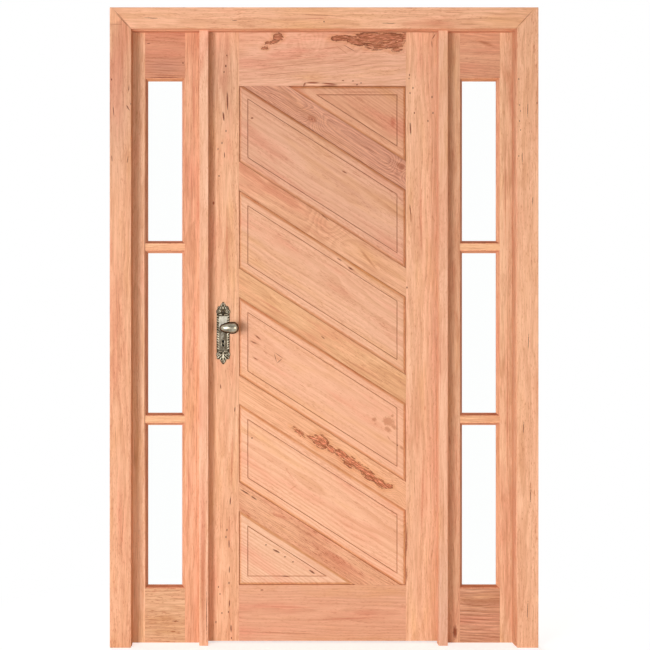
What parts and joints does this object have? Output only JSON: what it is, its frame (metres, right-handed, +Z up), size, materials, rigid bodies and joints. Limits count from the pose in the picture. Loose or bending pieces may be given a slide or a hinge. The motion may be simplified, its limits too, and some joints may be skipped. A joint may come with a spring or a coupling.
{
  "type": "door with sidelights",
  "caption": "Solid wood entrance door with slanting raised panels between two glazed sidelights, in a frame with mitred casing.",
  "frame": {"origin": "lower front corner of the left jamb's wall-side face, at the floor", "axes": "+X along the wall to the right as seen from the casing side, +Y into the wall, +Z up"},
  "size_m": [1.448, 0.1706, 2.163],
  "materials": {
    "casing_wood": "sanded, unfinished",
    "frame_wood": "sanded, unfinished",
    "sash_wood": "sanded, unfinished",
    "leaf_wood": "sanded, unfinished",
    "slant_wood": "sanded, unfinished",
    "panel_wood": "sanded, unfinished",
    "pane_glass": "clear",
    "hinge_brass": "satin",
    "lock_brass": "satin",
    "aged_brass": "aged"
  },
  "bodies": {
    "frame": {"casing_left": "casing_wood", "casing_right": "casing_wood", "casing_head": "casing_wood", "jamb_left": "frame_wood", "jamb_right": "frame_wood", "frame_head": "frame_wood", "mullion_left": "frame_wood", "mullion_right": "frame_wood", "sidelight_left_outer_stile": "sash_wood", "sidelight_left_inner_stile": "sash_wood", "sidelight_left_top_rail": "sash_wood", "sidelight_left_bottom_rail": "sash_wood", "sidelight_left_bars": "sash_wood", "sidelight_left_front_beads": "sash_wood", "sidelight_left_back_beads": "sash_wood", "sidelight_right_outer_stile": "sash_wood", "sidelight_right_inner_stile": "sash_wood", "sidelight_right_top_rail": "sash_wood", "sidelight_right_bottom_rail": "sash_wood", "sidelight_right_bars": "sash_wood", "sidelight_right_front_beads": "sash_wood", "sidelight_right_back_beads": "sash_wood", "sidelight_left_glass": "pane_glass", "sidelight_right_glass": "pane_glass", "hinge_frame_plates": "hinge_brass", "strike_plate": "lock_brass"},
    "leaf": {"leaf_lock_stile": "leaf_wood", "leaf_hinge_stile": "leaf_wood", "leaf_top_rail": "leaf_wood", "leaf_bottom_rail": "leaf_wood", "slant_rail_1": "slant_wood", "slant_rail_2": "slant_wood", "slant_rail_3": "slant_wood", "slant_rail_4": "slant_wood", "slant_rail_5": "slant_wood", "raised_panel_1": "panel_wood", "raised_panel_2": "panel_wood", "raised_panel_3": "panel_wood", "raised_panel_4": "panel_wood", "raised_panel_5": "panel_wood", "raised_panel_6": "panel_wood", "lock_faceplate": "lock_brass", "long_plate_front": "aged_brass", "long_plate_back": "aged_brass", "hinge_leaf_plates": "hinge_brass"},
    "handle": {"handle_front": "aged_brass", "handle_back": "aged_brass", "handle_spindle": "lock_brass"}
  },
  "joints": [
    {"name": "leaf_swing", "type": "hinge", "parent": "frame", "child": "leaf", "pos_m": [1.0859, 0.0795, 0], "axis": [0, 0, -1], "range_deg": [0, 105]},
    {"name": "handle_turn", "type": "hinge", "parent": "leaf", "child": "handle", "pos_m": [0.3447, 0.0555, 1.08], "axis": [0, 1, 0], "range_deg": [0, 45], "stiffness_Nm_per_rad": 0.8, "springref_deg": -45.84}
  ]
}
